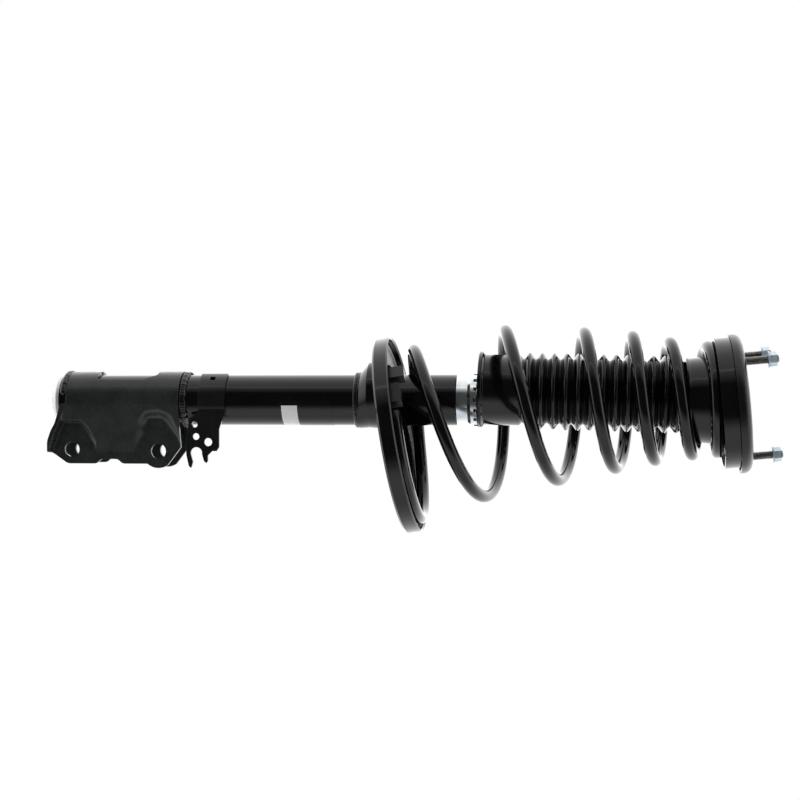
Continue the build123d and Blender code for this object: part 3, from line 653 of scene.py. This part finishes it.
def dust_boot(segments=96):
    bottom, top = 412.3, 645.0
    drift, over, bottom_shift, wall = 6.6, 233, -10.6, 1.6
    x_axis, y_axis, n = leaning_axes(-drift / over, 0)
    origin = Vector((AXIS_X + bottom_shift, 0, bottom))
    outline = [(35.2, 0.0), (37.4, 0.0), (38, 0.7), (38, 3.0), (37.2, 4.2), (35.6, 5.0), (35, 6.2),
               (35, 40.5)]
    collar, pitch, folds = 43.7, 12.0, 13
    steps = 14
    for i in range(folds):
        for k in range(steps):
            s = k / steps
            wave = (0.5 - 0.5 * cos(2 * pi * s)) ** 0.8
            outline.append((32 + 6.2 * wave, collar + (i + s) * pitch))
    end = collar + folds * pitch
    outline += [(31.8, end + 1), (32.6, end + 4), (32.6, top - bottom - 1), (32.2, top - bottom)]
    inner = [(r - wall, h) for r, h in reversed(outline)]
    points = []
    profile = outline + inner
    for j in range(segments):
        a = 2 * pi * j / segments
        for r, h in profile:
            points.append(origin + x_axis * r * cos(a) + y_axis * r * sin(a) + n * h)
    count = len(profile)
    faces = [
        (j * count + i, j * count + (i + 1) % count,
         (j + 1) % segments * count + (i + 1) % count, (j + 1) % segments * count + i)
        for j in range(segments)
        for i in range(count)
    ]
    obj = make_object("dust_boot_bellows", points, faces, boot_rubber, radians(60))
    piece(obj, "dust_boot", "rod")
    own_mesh(obj)


dust_boot()


# ---------------------------------------------------------------- mount studs

def mount_studs():
    lean_x, lean_y = 5.0, 1.6
    mount_shift, mount_z = 3, 672
    circle_x, circle_r = -1.8, 54.3
    root_r, thread_depth = 3.36, 0.6
    thread, sides = 1.25, 30
    x_axis, y_axis, n = leaning_axes(tan(radians(lean_x)), tan(radians(lean_y)))
    origin = Vector((AXIS_X + mount_shift, 0, mount_z))
    points, faces = [], []
    for angle in (5.3, 145.0, -134.4):
        a = radians(angle)
        place = origin + x_axis * (circle_x + circle_r * cos(a)) + y_axis * circle_r * sin(a)
        rings = [(0.01, -6), (5.2, -6), (5.8, -5.4), (5.8, -3.1), (4.4, -3.05), (4.4, 0.2), (3.9, 0.5)]
        rings += [(None, 0.8 + 29.4 * i / 190) for i in range(191)]
        rings += [(3.1, 30.9), (0.01, 31)]
        base = len(points)
        for r, h in rings:
            for j in range(sides):
                a = 2 * pi * j / sides
                radius = r
                if r is None:
                    phase = (h / thread + j / sides) % 1
                    crest = min(1, 1.15 * (1 - abs(2 * phase - 1)))
                    radius = root_r + thread_depth * crest * smooth_step(31.2 - h, 0, 2)
                points.append(place + x_axis * radius * cos(a) + y_axis * radius * sin(a) + n * h)
        faces += [tuple(base + v for v in f) for f in ring_faces(len(rings), sides)]
    obj = make_object("mount_studs_threaded", points, faces, stud_steel, radians(60))
    piece(obj, "mount_studs", "rod")


mount_studs()


# ---------------------------------------------------------------- floor, light and camera

def pale_floor():
    size = 1.5
    mesh = bpy.data.meshes.new("floor")
    z = cad_low.z - 0.002
    corners = [(-size, -size, z), (size, -size, z), (size, size, z), (-size, size, z)]
    mesh.from_pydata(corners, [], [(0, 1, 2, 3)])
    floor = bpy.data.objects.new("floor", mesh)
    bpy.context.scene.collection.objects.link(floor)
    floor.visible_glossy = False
    m = bpy.data.materials.new("pale_floor")
    m.use_nodes = True
    t = m.node_tree
    out = t.nodes["Material Output"]
    t.nodes.remove(t.nodes["Principled BSDF"])
    rays = t.nodes.new("ShaderNodeLightPath").outputs["Is Camera Ray"]
    back = t.nodes.new("ShaderNodeNewGeometry").outputs["Backfacing"]
    pale = t.nodes.new("ShaderNodeBsdfDiffuse")
    pale.inputs["Color"].default_value = (0.8, 0.8, 0.8, 1)
    glow = t.nodes.new("ShaderNodeEmission")
    glow.inputs["Strength"].default_value = 1.0
    clear = t.nodes.new("ShaderNodeBsdfTransparent")
    seen = t.nodes.new("ShaderNodeMixShader")
    sided = t.nodes.new("ShaderNodeMixShader")
    link(t, rays, seen.inputs[0])
    link(t, pale.outputs[0], seen.inputs[1])
    link(t, glow.outputs[0], seen.inputs[2])
    link(t, back, sided.inputs[0])
    link(t, seen.outputs[0], sided.inputs[1])
    link(t, clear.outputs[0], sided.inputs[2])
    link(t, sided.outputs[0], out.inputs["Surface"])
    mesh.materials.append(m)


def studio_world():
    """White surround: bright behind the strut, paler at its sides, dark on the camera's side."""
    world = bpy.data.worlds.new("studio")
    bpy.context.scene.world = world
    world.use_nodes = True
    t = world.node_tree
    background = t.nodes["Background"]
    background.inputs["Color"].default_value = (1, 1, 1, 1)
    coords = t.nodes.new("ShaderNodeTexCoord").outputs["Generated"]
    split = t.nodes.new("ShaderNodeSeparateXYZ")
    link(t, coords, split.inputs[0])
    up = value_node(t, "MULTIPLY", split.outputs["X"], -1)
    near = value_node(t, "MULTIPLY", split.outputs["Y"], -1)
    turn = value_node(t, "DIVIDE", value_node(t, "ARCTAN2", up, near), 2 * pi)
    fac = value_node(t, "ADD", turn, 0.5)
    stops = t.nodes.new("ShaderNodeValToRGB")
    levels = (
        (-180, 2.0), (-135, 1.45), (-110, 1.0), (-85, 0.7), (-55, 0.85), (-44, 0.75), (-36, 0.42), (-26, 0.1),
        (-20, 0.05), (34, 0.05), (46, 0.33), (56, 0.6), (58.5, 1.5), (61, 0.75), (90, 1.0), (120, 1.55),
        (145, 2.0),
    )
    elements = stops.color_ramp.elements
    elements.remove(elements[1])
    elements[0].position = 0
    for angle, level in levels:
        element = elements[0] if angle == -180 else elements.new(angle / 360 + 0.5)
        element.color = (level / 2, level / 2, level / 2, 1)
    link(t, fac, stops.inputs[0])
    side = value_node(t, "MULTIPLY", stops.outputs["Color"], 2.0)
    steep = ramp(t, value_node(t, "ABSOLUTE", split.outputs["Z"]), 0.8, 0.97)
    ends = t.nodes.new("ShaderNodeMix")
    link(t, steep, ends.inputs["Factor"])
    link(t, side, ends.inputs["A"])
    ends.inputs["B"].default_value = 1.5
    light = ends.outputs["Result"]
    rays = t.nodes.new("ShaderNodeLightPath").outputs["Is Camera Ray"]
    level = t.nodes.new("ShaderNodeMix")
    link(t, rays, level.inputs["Factor"])
    link(t, light, level.inputs["A"])
    level.inputs["B"].default_value = 1.0
    link(t, level.outputs["Result"], background.inputs["Strength"])


def photo_camera():
    data = bpy.data.cameras.new("camera")
    data.lens = 67.5
    data.sensor_width = 36
    data.clip_start, data.clip_end = 0.05, 20
    camera = bpy.data.objects.new("camera", data)
    bpy.context.scene.collection.objects.link(camera)
    yaw = radians(7.0)
    target = Vector((AXIS_X * MM, 0, 0.333))
    back = Vector((0, -cos(yaw), sin(yaw)))
    right = Vector((0, sin(yaw), cos(yaw)))
    up = Vector((-1, 0, 0))
    matrix = camera.matrix_world.copy()
    matrix.col[0] = (*right, 0)
    matrix.col[1] = (*up, 0)
    matrix.col[2] = (*back, 0)
    matrix.col[3] = (*(target + back * 1.5), 1)
    camera.matrix_world = matrix
    bpy.context.scene.camera = camera


pale_floor()
studio_world()
photo_camera()
bpy.context.scene.view_settings.view_transform = "Standard"
